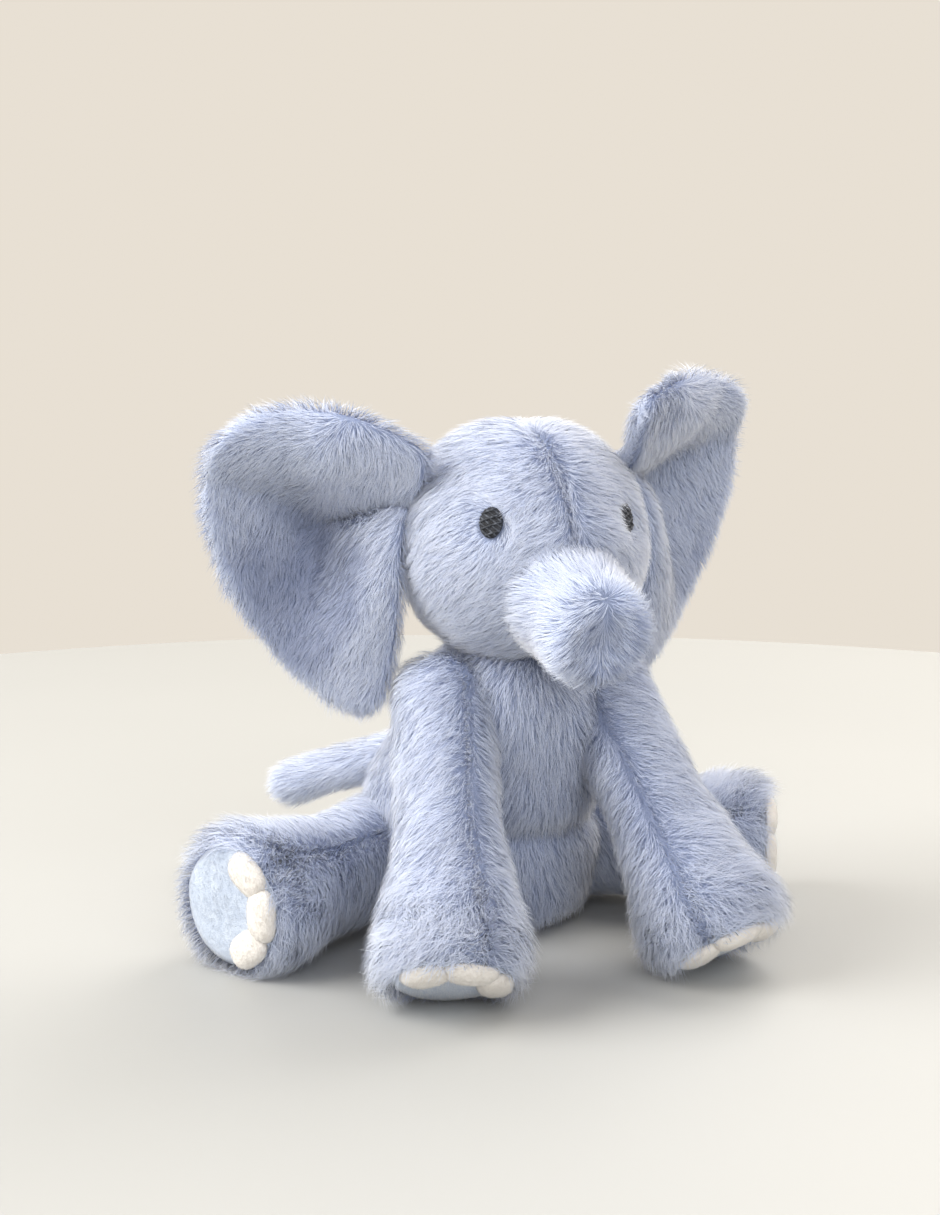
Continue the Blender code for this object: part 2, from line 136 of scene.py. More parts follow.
def painted_board():
    """Table top: satin paint, almost white and a little warm, with the faintest mottling."""
    material, tree, shader = new_material("satin_painted_board", 0.55)
    mottled(tree, shader, 3.0, 2.0, TABLE_SHADE, TABLE_COLOUR)
    return material


def make_table():
    bm = bmesh.new()
    bmesh.ops.create_circle(bm, cap_ends=True, radius=TABLE_RADIUS, segments=128)
    mesh = bpy.data.meshes.new("table_top")
    bm.to_mesh(mesh)
    bm.free()
    table = bpy.data.objects.new("table_top", mesh)
    bpy.context.scene.collection.objects.link(table)
    mesh.materials.append(painted_board())


def area_light(name, place, target, size, watts, colour):
    light = bpy.data.lights.new(name, "AREA")
    light.shape = "RECTANGLE"
    light.size, light.size_y = size
    light.energy = watts
    light.color = linear(colour)[:3]
    lamp = bpy.data.objects.new(name, light)
    lamp.location = place
    lamp.rotation_euler = (target - place).to_track_quat("-Z", "Y").to_euler()
    bpy.context.scene.collection.objects.link(lamp)


def make_studio():
    make_table()
    middle = (cad_low + cad_high) / 2.0
    for name, place, size, watts, colour in LIGHTS:
        area_light(name, middle + Vector(place), middle, size, watts, colour)
    world = bpy.data.worlds.new("room")
    world.use_nodes = True
    tree = world.node_tree
    background = tree.nodes["Background"]
    background.inputs["Color"].default_value = linear(WALL_COLOUR)
    place = add_node(tree, "ShaderNodeTexCoord")
    parts = add_node(tree, "ShaderNodeSeparateXYZ", links={"Vector": place.outputs["Generated"]})
    strength = add_node(
        tree,
        "ShaderNodeMapRange",
        {"From Min": -0.3, "From Max": 0.6, "To Min": ROOM_DIM, "To Max": ROOM_BRIGHT},
        {"Value": parts.outputs["Y"]},
        interpolation_type="SMOOTHSTEP",
    )
    tree.links.new(strength.outputs["Result"], background.inputs["Strength"])
    scene = bpy.context.scene
    scene.world = world
    scene.view_settings.view_transform = "Standard"
    camera = bpy.data.objects.new("camera", bpy.data.cameras.new("camera"))
    camera.data.lens = CAMERA_LENS_MM
    camera.location = (CAMERA_SIDE, CAMERA_FRONT, CAMERA_HEIGHT)
    camera.rotation_euler = (math.pi / 2.0 - CAMERA_DIP, 0.0, -CAMERA_TURN)
    camera.data.clip_start = 0.01
    scene.collection.objects.link(camera)
    scene.camera = camera


make_studio()

# ---------------------------------------------------------------------------------------------
# Torso: a pear-shaped bag of fur fabric packed with fibre, sewn up the back, with a crease
# across the belly where the toy sits. The fur-fabric backing is knitted cloth; the pile is long
# acrylic fibre, laid downwards and a little outwards.
# ---------------------------------------------------------------------------------------------
PILE_LENGTH = 0.0118
PILE_WIDTH = 0.00023
FIBRES_IN_PIECE = 64000
GROUND = 0.0007
TORSO_FIBRES = 76000
SEAT_Y = 0.0260
TORSO_LEAN = 0.060
# Root to tip: the darker root is painted shade deep in the pile, the pale tip painted light.
ROOT_COLOUR = "9FAED4"
MIDDLE_COLOUR = "D5E0F8"
TIP_COLOUR = "EDF2FE"
UP = Vector((0.0, 0.0, 1.0))


def backing_cloth():
    """Knitted backing under the pile: matt, seen only in partings, darker than the tips as painted
    shade.
    """
    material, tree, shader = new_material("knitted_backing", 0.95)
    cloth = mottled(tree, shader, 900.0, 3.0, "8794B6", "ABB7D4")
    depth = {"Strength": 0.6, "Distance": 0.0006}
    bump = add_node(tree, "ShaderNodeBump", depth, {"Height": cloth.outputs["Fac"]})
    tree.links.new(bump.outputs["Normal"], shader.inputs["Normal"])
    return material


def fibre_colours(name, root, middle_colour, tip):
    """Acrylic fibre: darker at the root as painted shade, paler at the tip as painted light, with a
    silky sheen.

    The pile's own map holds across a lock's random tone with its piece's painted shade and light,
    and its place from root to tip upwards.
    """
    material, tree, shader = new_material(
        name, 0.62, Sheen_Weight=0.75, Sheen_Roughness=0.45, Specular_IOR_Level=0.25
    )
    fibre = add_node(tree, "ShaderNodeUVMap", uv_map="OFBake")
    parts = add_node(tree, "ShaderNodeSeparateXYZ", links={"Vector": fibre.outputs["UV"]})
    ramp = add_node(tree, "ShaderNodeValToRGB", links={"Fac": parts.outputs["Y"]})
    ramp.color_ramp.elements[0].color = linear(root)
    ramp.color_ramp.elements[1].color = linear(tip)
    middle = ramp.color_ramp.elements.new(0.45)
    middle.color = linear(middle_colour)
    # The shade across carries each lock's random tone and the painted shade and light of its piece.
    shade = add_node(tree, "ShaderNodeValToRGB", links={"Fac": parts.outputs["X"]})
    shade.color_ramp.elements[0].color = linear("A3ACC4")
    between = shade.color_ramp.elements.new(0.4)
    between.color = linear("DCE2EF")
    shade.color_ramp.elements[1].color = linear("FFFFFF")
    tint = add_node(
        tree,
        "ShaderNodeMix",
        {0: 1.0},
        {6: ramp.outputs["Color"], 7: shade.outputs["Color"]},
        data_type="RGBA",
        blend_type="MULTIPLY",
    )
    tree.links.new(tint.outputs[2], shader.inputs["Base Color"])
    return material


BACKING = backing_cloth()
PILE = fibre_colours("acrylic_fur_pile", ROOT_COLOUR, MIDDLE_COLOUR, TIP_COLOUR)


def finished(name, bm, material, body, nodes=()):
    """A bmesh made into a smooth piece that rides on its body and stands for its CAD nodes."""
    bmesh.ops.recalc_face_normals(bm, faces=bm.faces[:])
    mesh = bpy.data.meshes.new(name)
    bm.to_mesh(mesh)
    bm.free()
    mesh.shade_smooth()
    mesh.materials.append(material)
    piece = bpy.data.objects.new(name, mesh)
    bpy.context.scene.collection.objects.link(piece)
    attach(piece, body)
    if nodes:
        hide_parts(*nodes)
    return piece


def eased(t):
    """0 to 1 with a soft start and a soft end."""
    return t * t * (3.0 - 2.0 * t)


def ramped(values, start, end):
    """0 before start, 1 after end, soft between, for an array of values."""
    return eased(np.clip((values - start) / (end - start), 0.0, 1.0))


def unit(vectors):
    return vectors / np.maximum(np.linalg.norm(vectors, axis=1, keepdims=True), 1e-9)


def wavy(places, length, seed):
    """Smooth uneven values from -1 to 1 that change over about the given length."""
    rng = np.random.default_rng(seed)
    total = np.zeros(len(places))
    for _ in range(5):
        way = rng.normal(size=3)
        way *= 2.0 * math.pi / (length * np.linalg.norm(way)) * rng.uniform(0.7, 1.4)
        total += np.sin(places @ way + rng.uniform(0.0, 2.0 * math.pi))
    return total / 3.0


def scattered(mesh, count, rng):
    """Even random places on a mesh, with the smooth normal at each."""
    mesh.calc_loop_triangles()
    corners = np.empty(len(mesh.loop_triangles) * 3, np.int32)
    mesh.loop_triangles.foreach_get("vertices", corners)
    corners = corners.reshape(-1, 3)
    places = np.empty(len(mesh.vertices) * 3, np.float32)
    mesh.vertices.foreach_get("co", places)
    places = places.reshape(-1, 3).astype(np.float64)
    normals = np.empty(len(mesh.vertices) * 3, np.float32)
    mesh.vertex_normals.foreach_get("vector", normals)
    normals = normals.reshape(-1, 3).astype(np.float64)
    a, b, c = (places[corners[:, side]] for side in range(3))
    areas = np.linalg.norm(np.cross(b - a, c - a), axis=1)
    picked = rng.choice(len(corners), size=count, p=areas / areas.sum())
    u = np.sqrt(rng.random(count))[:, None]
    v = rng.random(count)[:, None]
    shares = (1.0 - u, u * (1.0 - v), u * v)
    roots = sum(share * places[corners[picked, side]] for side, share in enumerate(shares))
    up = sum(share * normals[corners[picked, side]] for side, share in enumerate(shares))
    return roots, unit(up)


def gathered(roots, lines, rng, locks, pull):
    """Draw neighbouring fibres together into locks, more towards their tips."""
    count = len(roots)
    leaders = rng.choice(count, size=max(1, count // locks), replace=False)
    tree = kdtree.KDTree(len(leaders))
    for number, leader in enumerate(leaders):
        tree.insert(roots[leader], number)
    tree.balance()
    nearest = leaders[np.array([tree.find(root)[1] for root in roots])]
    for step, share in ((1, 0.35), (2, 1.0)):
        ahead = lines[nearest, step] - roots[nearest] * 0.12 - roots * -0.12
        lines[:, step] += (ahead - lines[:, step]) * (pull * share)
    return nearest


def grow_fur(name, skin, count, flow, body, seed, length=PILE_LENGTH, lift=1.0, keep=None, **options):
    """Fur: thin pointed ribbons rooted on the skin, laid along the flow and drawn into locks."""
    rng = np.random.default_rng(seed)
    roots, up = scattered(skin.data, count, rng)
    if keep is not None:
        kept = rng.random(len(roots)) < keep(roots, up)
        roots, up = roots[kept], up[kept]
    count = len(roots)
    along = flow(roots, up)
    along = unit(along - up * np.sum(along * up, axis=1, keepdims=True))
    side = np.cross(along, up)
    turn = rng.normal(0.0, 0.21, count) + 0.26 * wavy(roots, 0.022, seed + 1)
    if "unruly" in options:
        turn = turn * options["unruly"](roots, up)
    turn = turn[:, None]
    along = along * np.cos(turn) + side * np.sin(turn)
    side = np.cross(along, up)
    long = length * rng.uniform(0.72, 1.15, count) * (1.0 + 0.12 * wavy(roots, 0.03, seed + 2))
    if "trim" in options:
        long = long * options["trim"](roots, up)
    long = long[:, None]
    rise = lift * rng.uniform(0.6, 1.4, count)
    if "stand" in options:
        rise = rise * options["stand"](roots, up)
    rise = rise[:, None]
    lines = np.empty((count, 3, 3))
    lines[:, 0] = roots - up * 0.0004
    for step, (share, slope) in enumerate(((0.42, 0.68), (0.58, 0.20)), start=1):
        angle = slope * rise
        lines[:, step] = lines[:, step - 1] + long * share * (
            along * np.cos(angle) + up * np.sin(angle)
        )
    nearest = gathered(roots, lines, rng, options.get("locks", 12), options.get("pull", 0.17))
    lines[:, 1:, 2] = np.maximum(lines[:, 1:, 2], GROUND)
    roll = rng.uniform(-0.9, 0.9, count)[:, None]
    across = side * np.cos(roll) + up * np.sin(roll)
    thick = options.get("width", PILE_WIDTH) * rng.uniform(0.7, 1.3, count)[:, None]
    places = np.empty((count, 5, 3))
    for step, share in enumerate((1.0, 0.85)):
        places[:, 2 * step] = lines[:, step] - across * thick * 0.5 * share
        places[:, 2 * step + 1] = lines[:, step] + across * thick * 0.5 * share
    places[:, 4] = lines[:, 2]
    tilt = rng.normal(0.0, 0.13, count)[:, None]
    facing = unit((options["facing"](roots, up) if "facing" in options else up) + side * tilt)
    normals = np.empty((count, 5, 3))
    for point, lean in enumerate((0.0, 0.0, 0.10, 0.10, 0.25)):
        normals[:, point] = unit(facing + along * lean)
    lock_shade = rng.random(count)[nearest]
    shade = 0.58 + 0.09 * (lock_shade - 0.5) * 2.0 + rng.normal(0.0, 0.07, count)
    shade += 0.18 * wavy(roots, 0.045, seed + 3)
    # A piece's shade option multiplies in its painted shade and painted light.
    if "shade" in options:
        shade = shade * options["shade"](roots, up)
    shade = np.clip(shade, 0.02, 0.98)
    heights = np.array((0.0, 0.0, 0.45, 0.45, 1.0))
    strand_map = np.empty((count, 5, 2))
    strand_map[:, :, 0] = shade[:, None] + np.array((-1, 1, -1, 1, 0)) * 0.004
    strand_map[:, :, 1] = 0.01 + 0.98 * heights
    parts = -(-count // FIBRES_IN_PIECE)
    order = rng.permutation(count)
    for number in range(parts):
        share = order[number::parts]
        title = name if parts == 1 else f"{name}_{number + 1}"
        piece = fur_piece(title, places[share], normals[share], strand_map[share])
        piece.data.materials.append(options.get("material", PILE))
        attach(piece, body)


def fur_piece(name, places, normals, strand_map):
    """Ribbons of a long root face and a pointed tip face, as one mesh."""
    count = len(places)
    pattern = np.array((0, 1, 3, 2, 2, 3, 4))
    starts = np.array((0, 4))
    first = np.arange(count)[:, None]
    mesh = bpy.data.meshes.new(name)
    mesh.vertices.add(count * 5)
    mesh.vertices.foreach_set("co", places.astype(np.float32).ravel())
    corners = (first * 5 + pattern).ravel()
    mesh.loops.add(len(corners))
    mesh.loops.foreach_set("vertex_index", corners.astype(np.int32))
    mesh.polygons.add(count * 2)
    mesh.polygons.foreach_set("loop_start", (first * 7 + starts).ravel().astype(np.int32))
    mesh.update(calc_edges=True)
    layer = mesh.uv_layers.new(name="OFBake")
    layer.uv.foreach_set("vector", strand_map.reshape(-1, 2)[corners].astype(np.float32).ravel())
    mesh.shade_smooth()
    mesh.normals_split_custom_set_from_vertices(normals.reshape(-1, 3).astype(np.float32))
    piece = bpy.data.objects.new(name, mesh)
    bpy.context.scene.collection.objects.link(piece)
    return piece


def torso_skin():
    """Level rings from the seat to the neck, bridged, with a belly crease and a lumpy filling."""
    low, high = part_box("torso")
    height = high.z - low.z
    half_width = (high.x - low.x) / 2.0
    rings = []
    bm = bmesh.new()
    # share of the height, share of the half width, half depth, share of the lean
    slices = (
        (0.004, 0.70, 0.050, 0.00),
        (0.030, 0.96, 0.0610, 0.00),
        (0.090, 1.08, 0.0660, 0.02),
        (0.170, 1.13, 0.0680, 0.03),
        (0.290, 1.10, 0.0670, 0.12),
        (0.345, 1.04, 0.0640, 0.17),
        (0.385, 0.96, 0.0600, 0.22),
        (0.425, 0.97, 0.0630, 0.28),
        (0.470, 0.965, 0.0640, 0.36),
        (0.560, 0.92, 0.0590, 0.50),
        (0.690, 0.86, 0.0510, 0.74),
        (0.800, 0.80, 0.0445, 0.91),
        (0.900, 0.70, 0.0370, 0.98),
        (0.970, 0.52, 0.0280, 1.00),
        (1.000, 0.30, 0.0170, 1.00),
    )
    for share, width, depth, lean in slices:
        centre = Vector((0.0, SEAT_Y - TORSO_LEAN * lean, low.z + share * height))
        size = Matrix.Diagonal((width * half_width, depth, 1.0, 1.0))
        made = bmesh.ops.create_circle(
            bm, cap_ends=False, radius=1.0, segments=64, matrix=Matrix.Translation(centre) @ size
        )
        rings.append({edge for vert in made["verts"] for edge in vert.link_edges})
    for lower, upper in zip(rings, rings[1:]):
        bmesh.ops.bridge_loops(bm, edges=list(lower | upper))
    bmesh.ops.holes_fill(bm, edges=bm.edges[:], sides=0)
    return bm


def torso_flow(places, up):
    """Down the chest and back, parting a little from the middle line."""
    flow = np.zeros_like(places)
    flow[:, 0] = np.tanh(places[:, 0] / 0.02) * 0.35
    flow[:, 2] = -1.0
    return flow


def off_the_ground(places, up):
    """No pile under the seat, where the cloth is pressed flat."""
    return np.where((up[:, 2] < -0.75) & (places[:, 2] < 0.012), 0.0, 1.0)


def torso_shade(places, up):
    """Painted shade: darker on the belly, where the shade between the front legs falls."""
    front = ramped(-places[:, 1], 0.0, 0.03)
    low = 1.0 - ramped(places[:, 2], 0.055, 0.085)
    return 1.03 - 0.38 * front * low


torso = finished("torso_cloth", torso_skin(), BACKING, "torso", ("torso",))
grow_fur(
    "torso_fur", torso, TORSO_FIBRES, torso_flow, "torso", 11, keep=off_the_ground, shade=torso_shade
)

# ---------------------------------------------------------------------------------------------
# Head: two cheeks and a forehead sewn up the middle and packed into a ball. The seam shows as a
# dark parting from the crown to the trunk, deepened on the face with painted shade. The pile runs
# from it outwards, down and back.
# ---------------------------------------------------------------------------------------------
HEAD_CENTRE = joint_places["neck_turn"]
head_low, head_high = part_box("head")
HEAD_SIZE = Vector(
    (
        (head_high.x - head_low.x) / 2.0,
        head_high.y - HEAD_CENTRE.y,
        head_high.z - HEAD_CENTRE.z,
    )
)


HEAD_FIBRES = 96000
EYE_DENT = 0.0030
EYE_MIDDLES = [np.array(sum(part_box(eye), Vector()) / 2.0) for eye in ("eye_right", "eye_left")]


def head_skin():
    bm = bmesh.new()
    bmesh.ops.create_uvsphere(bm, u_segments=64, v_segments=40, radius=1.0)
    bmesh.ops.rotate(bm, verts=bm.verts[:], matrix=Matrix.Rotation(math.pi / 2.0, 3, "X"))
    for vert in bm.verts:
        out = vert.co.copy()
        vert.co = Vector((out.x * HEAD_SIZE.x, out.y * HEAD_SIZE.y, out.z * HEAD_SIZE.z))
        muzzle = math.exp(-((out - Vector((0.0, -0.93, -0.36))).length / 0.42) ** 2)
        bridge = math.exp(-((out - Vector((0.10, -0.97, 0.12))).length / 0.30) ** 2)
        mirrored = Vector((abs(out.x), out.y, out.z))
        cheek = math.exp(-((mirrored - Vector((0.75, -0.45, -0.45))).length / 0.5) ** 2)
        face = eased(min(1.0, max(0.0, (0.2 - out.y) / 0.9)))
        seam = math.exp(-((out.x / 0.035) ** 2)) * (0.15 + 0.85 * face)
        vert.co += out * (0.007 * muzzle + 0.0040 * bridge + 0.0015 * cheek - 0.0026 * seam)
        vert.co += HEAD_CENTRE
        for middle in EYE_MIDDLES:
            gap = (vert.co - Vector(middle)).length
            vert.co -= out * EYE_DENT * math.exp(-((gap / 0.0085) ** 2))
    return bm


def head_flow(places, up):
    """From the middle seam outwards, then down the cheeks and back."""
    flow = np.zeros_like(places)
    flow[:, 0] = np.tanh(places[:, 0] / 0.007) * 0.85
    flow[:, 1] = 0.30
    flow[:, 2] = -0.75
    for middle, combed in zip(EYE_MIDDLES, (2.0, -0.4)):
        away = places - middle
        gap = np.linalg.norm(away, axis=1)[:, None]
        flow += away / gap * combed * np.exp(-((gap / 0.0115) ** 2))
    return flow


def head_keep(places, up):
    """The parting along the middle seam and the stitched eyes are clear of roots."""
    seam = (np.abs(places[:, 0]) < 0.0005) & (places[:, 1] < HEAD_CENTRE.y + 0.03)
    clear = np.where(seam, 0.0, 1.0)
    for middle, radius in zip(EYE_MIDDLES, (0.0056, 0.0046)):
        gap = np.linalg.norm((places - middle) * (1.0, 1.0, 0.78), axis=1)
        clear = np.where(gap < radius, 0.0, clear)
    return clear


def head_trim(places, up):
    """Shorter pile beside the seam, on the face and near the eyes."""
    trim = 0.62 + 0.38 * ramped(np.abs(places[:, 0]), 0.001, 0.010)
    front = ramped(HEAD_CENTRE.y - places[:, 1], 0.01, 0.05)
    for middle, kept in zip(EYE_MIDDLES, (0.55, 0.80)):
        trim *= kept + (1.0 - kept) * ramped(np.linalg.norm(places - middle, axis=1), 0.006, 0.016)
    return trim * (1.0 - 0.18 * front)


def head_stand(places, up):
    """The pile stands up on both sides of the middle seam."""
    return 1.0 + 0.7 * np.exp(-((places[:, 0] / 0.003) ** 2))


def head_shade(places, up):
    """Painted shade: darker beside the seam on the face, where shade falls in the parting."""
    face = ramped(HEAD_CENTRE.y - places[:, 1], 0.020, 0.045)
    return 1.0 - 0.40 * face * np.exp(-((places[:, 0] / 0.0028) ** 2))


head = finished("head_cloth", head_skin(), BACKING, "head", ("head",))
grow_fur(
    "head_fur",
    head,
    HEAD_FIBRES,
    head_flow,
    "head",
    21,
    keep=head_keep,
    trim=head_trim,
    stand=head_stand,
    shade=head_shade,
)

# ---------------------------------------------------------------------------------------------
# Eyes: flat ovals of charcoal thread, satin-stitched in two crossing layers straight onto the
# face. The pull of the stitches sinks them a little into the pile.
# ---------------------------------------------------------------------------------------------
THREAD_RADIUS = 0.00040
EYE_DOME = 0.0012
EYE_SINK = 0.0012


def stitched_thread(name, dark, light):
    """Embroidery thread: matt and twisted, with paler patches painted in as highlights on its
    strands.
    """
    material, tree, shader = new_material(name, 0.6, Sheen_Weight=0.05)
    mottled(tree, shader, 520.0, 2.0, dark, light, 0.42, 0.70)
    return material


DARK_THREAD = stitched_thread("charcoal_thread", "1B1D23", "3A3E47")
WORN_THREAD = stitched_thread("worn_grey_thread", "2C3038", "666C77")


def lay_thread(bm, points, radius):
    """One thread: small rings bridged along its points and closed at both ends."""
    rings = []
    for number, point in enumerate(points):
        ahead = points[min(number + 1, len(points) - 1)] - points[max(number - 1, 0)]
        turn = ahead.to_track_quat("Z", "Y").to_matrix().to_4x4()
        narrow = 0.55 if number in (0, len(points) - 1) else 1.0
        made = bmesh.ops.create_circle(
            bm,
            cap_ends=False,
            radius=radius * narrow,
            segments=6,
            matrix=Matrix.Translation(point) @ turn,
        )
        rings.append({edge for vert in made["verts"] for edge in vert.link_edges})
    for one, other in zip(rings, rings[1:]):
        bmesh.ops.bridge_loops(bm, edges=list(one | other))
    for end in (rings[0], rings[-1]):
        bmesh.ops.holes_fill(bm, edges=list(end), sides=0)


def stitch_layer(bm, half_width, half_height, tilt, count, lift):
    """Even threads laid side by side across the oval, each following its low dome."""
    way = Vector((math.cos(tilt), math.sin(tilt)))
    beside = Vector((-way.y, way.x))
    reach = math.hypot(half_width * beside.x, half_height * beside.y)
    size = Vector((1.0 / half_width**2, 1.0 / half_height**2))
    steep = size.x * way.x**2 + size.y * way.y**2
    for number in range(count):
        offset = (2.0 * (number + 0.5) / count - 1.0) * reach * 0.96
        offset += 0.00014 * math.sin(7.0 * number + tilt)
        cross = offset * (size.x * way.x * beside.x + size.y * way.y * beside.y)
        level = offset**2 * (size.x * beside.x**2 + size.y * beside.y**2) - 1.0
        half_chord = math.sqrt(max(0.0, cross**2 - steep * level)) / steep
        points = []
        for step in range(9):
            spot = beside * offset + way * ((step / 4.0 - 1.0) * half_chord - cross / steep)
            flat = size.x * spot.x**2 + size.y * spot.y**2
            height = EYE_DOME * math.sqrt(max(0.0, 1.0 - flat)) + lift
            points.append(Vector((spot.x, spot.y, height)))
        lay_thread(bm, points, THREAD_RADIUS)


def stitch_eye(side):
    low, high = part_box(f"eye_{side}")
    middle = (low + high) / 2.0
    out = (middle - HEAD_CENTRE).normalized()
    across = UP.cross(out).normalized()
    turn = Matrix((across, out.cross(across), out)).transposed().to_4x4()
    placing = Matrix.Translation(middle - out * EYE_SINK) @ turn
    half_height = (high.z - low.z) / 2.0 + 0.0002
    half_width = half_height * 0.76
    ground = bmesh.new()
    bmesh.ops.create_uvsphere(ground, u_segments=32, v_segments=16, radius=1.0)
    oval = Matrix.Diagonal((half_width, half_height, EYE_DOME, 1.0))
    bmesh.ops.transform(ground, matrix=oval, verts=ground.verts[:])
    stitch_layer(ground, half_width, half_height, math.radians(62.0), 17, 0.0001)
    bmesh.ops.transform(ground, matrix=placing, verts=ground.verts[:])
    finished(f"eye_{side}_satin", ground, DARK_THREAD, "head", (f"eye_{side}",))
    crossing = bmesh.new()
    stitch_layer(crossing, half_width, half_height, math.radians(-35.0), 6, 0.0005)
    stitch_layer(crossing, half_width, half_height, math.radians(20.0), 4, 0.0008)
    bmesh.ops.transform(crossing, matrix=placing, verts=crossing.verts[:])
    finished(f"eye_{side}_crossing", crossing, WORN_THREAD, "head")


for eye_side in ("right", "left"):
    stitch_eye(eye_side)

# ---------------------------------------------------------------------------------------------
# Trunk: a short fat tube sewn into the face, with a round flat end. Its pile stands out all round
# the rim like a ruff, and on the end it falls from a small parting above the middle.
# ---------------------------------------------------------------------------------------------
TRUNK_BALL = 0.0262
TRUNK_END_RADIUS = 0.0192
trunk_joint = joint_places["trunk_lift"]
trunk_low, trunk_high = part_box("trunk_end")
TRUNK_TIP = (trunk_low + trunk_high) / 2.0
TRUNK_WAY = (TRUNK_TIP - trunk_joint).normalized()
TRUNK_LENGTH = (TRUNK_TIP - trunk_joint).length + 0.0015
TRUNK_EDGE = 0.0085
TRUNK_FIBRES = 26000
TRUNK_PILE = 0.0098
TOWARDS_WINDOW = np.array((-0.55, -0.30, 0.62))
tip, way_out = np.array(TRUNK_TIP), np.array(TRUNK_WAY)
tip_rise = np.array(UP - TRUNK_WAY * UP.dot(TRUNK_WAY))
tip_rise /= np.linalg.norm(tip_rise)


def spun(profile, start, way, toe, steps=48):
    """A profile of (radius, distance) turned round an axis. The toe side starts the turn."""
    bm = bmesh.new()
    spots = [bm.verts.new((radius, 0.0, along)) for radius, along in profile]
    lines = [bm.edges.new(pair) for pair in zip(spots, spots[1:])]
    bmesh.ops.spin(
        bm,
        geom=spots + lines,
        axis=(0.0, 0.0, 1.0),
        cent=(0.0, 0.0, 0.0),
        steps=steps,
        angle=2.0 * math.pi,
        use_merge=True,
    )
    bmesh.ops.remove_doubles(bm, verts=bm.verts[:], dist=0.00002)
    flat_toe = (toe - way * toe.dot(way)).normalized()
    turn = Matrix((flat_toe, way.cross(flat_toe), way)).transposed().to_4x4()
    bmesh.ops.transform(bm, matrix=Matrix.Translation(start) @ turn, verts=bm.verts[:])
    return bm


def lumpy(bm, amount, length, seed):
    """Push the skin in and out a little, as packed fibre does."""
    bmesh.ops.recalc_face_normals(bm, faces=bm.faces[:])
    bm.normal_update()
    places = np.array([vert.co for vert in bm.verts])
    for vert, height in zip(bm.verts, wavy(places, length, seed)):
        vert.co += vert.normal * float(height) * amount
    return bm


def ball_profile(ball):
    """The round start of a spun profile, hidden in the piece it is sewn to."""
    angles = [0.5 * math.pi * step / 9 for step in range(1, 9)]
    return [(0.0, -ball)] + [(ball * math.sin(angle), -ball * math.cos(angle)) for angle in angles]


def trunk_skin():
    profile = ball_profile(TRUNK_BALL)
    for step in range(11):
        along = step / 10.0
        waist = TRUNK_BALL + (TRUNK_END_RADIUS * 0.98 - TRUNK_BALL) * eased(along)
        profile.append((waist + 0.0024 * eased(along), along * (TRUNK_LENGTH - TRUNK_EDGE)))
    for step in range(1, 7):
        angle = 0.5 * math.pi * step / 7
        profile.append(
            (
                TRUNK_END_RADIUS - TRUNK_EDGE * (1.0 - math.cos(angle)) + 0.0018,
                TRUNK_LENGTH - TRUNK_EDGE + TRUNK_EDGE * math.sin(angle),
            )
        )
    for share in (0.42, 0.28, 0.14, 0.0):
        profile.append((TRUNK_END_RADIUS * share, TRUNK_LENGTH - 0.0003 - 0.0040 * (0.55 - share)))
    return lumpy(spun(profile, trunk_joint, TRUNK_WAY, UP), 0.0003, 0.02, 31)


def trunk_flow(places, up):
    """Along the trunk a little back from the rim, and on the end down from the parting."""
    outward = places - (tip + tip_rise * 0.008)
    outward -= way_out * (outward @ way_out)[:, None]
    end = ramped(up @ way_out, 0.35, 0.8)[:, None]
    body = unit(outward) - 0.5 * way_out
    beside = np.cross(way_out, tip_rise)
    parted = np.tanh((places - tip) @ beside / 0.003)[:, None]
    cap = beside * parted * 0.75 - tip_rise * 0.55 + unit(outward + 1e-6) * 0.35
    return body * (1.0 - end) + cap * end


def trunk_ring(places):
    """0 in the oval middle of the trunk's end, 1 on the ruff round it."""
    from_tip = places - tip - tip_rise * 0.003
    beside = from_tip @ np.cross(way_out, tip_rise)
    return ramped(np.hypot(beside / 0.0085, from_tip @ tip_rise / 0.0125), 0.75, 1.30)


def trunk_keep(places, up):
    """None inside the face."""
    along = (places - np.array(trunk_joint)) @ way_out
    return np.where(along < 0.006, 0.0, 1.0)


def trunk_trim(places, up):
    """Shorter near the parting on the end."""
    gap = np.linalg.norm(places - tip, axis=1)
    return 0.75 + 0.35 * ramped(gap, 0.004, 0.020)


def trunk_stand(places, up):
    """The ruff round the rim stands up; the pile on the end and the tube lies flatter."""
    return 0.85 + 1.0 * np.exp(-(((up @ way_out - 0.45) / 0.35) ** 2))


def trunk_shade(places, up):
    """Painted light makes the ruff round the rim pale; painted shade darkens the tube and the end's
    middle.
    """
    tube = 1.0 - ramped(up @ way_out, 0.05, 0.45)
    return 0.60 + 1.00 * trunk_ring(places) * (1.0 - 0.62 * tube)


def trunk_facing(places, up):
    """The ruff's normals lean to the window, in place of the light that passes through it."""
    ruff = ramped(up @ way_out, 0.10, 0.50)[:, None]
    ruff *= trunk_ring(places)[:, None]
    return up * (1.0 - 0.7 * ruff) + TOWARDS_WINDOW * ruff


trunk = finished(
    "trunk_cloth", trunk_skin(), BACKING, "trunk", ("trunk", "trunk_end")
)
grow_fur(
    "trunk_fur",
    trunk,
    TRUNK_FIBRES,
    trunk_flow,
    "trunk",
    31,
    length=TRUNK_PILE,
    stand=trunk_stand,
    keep=trunk_keep,
    trim=trunk_trim,
    shade=trunk_shade,
    facing=trunk_facing,
)

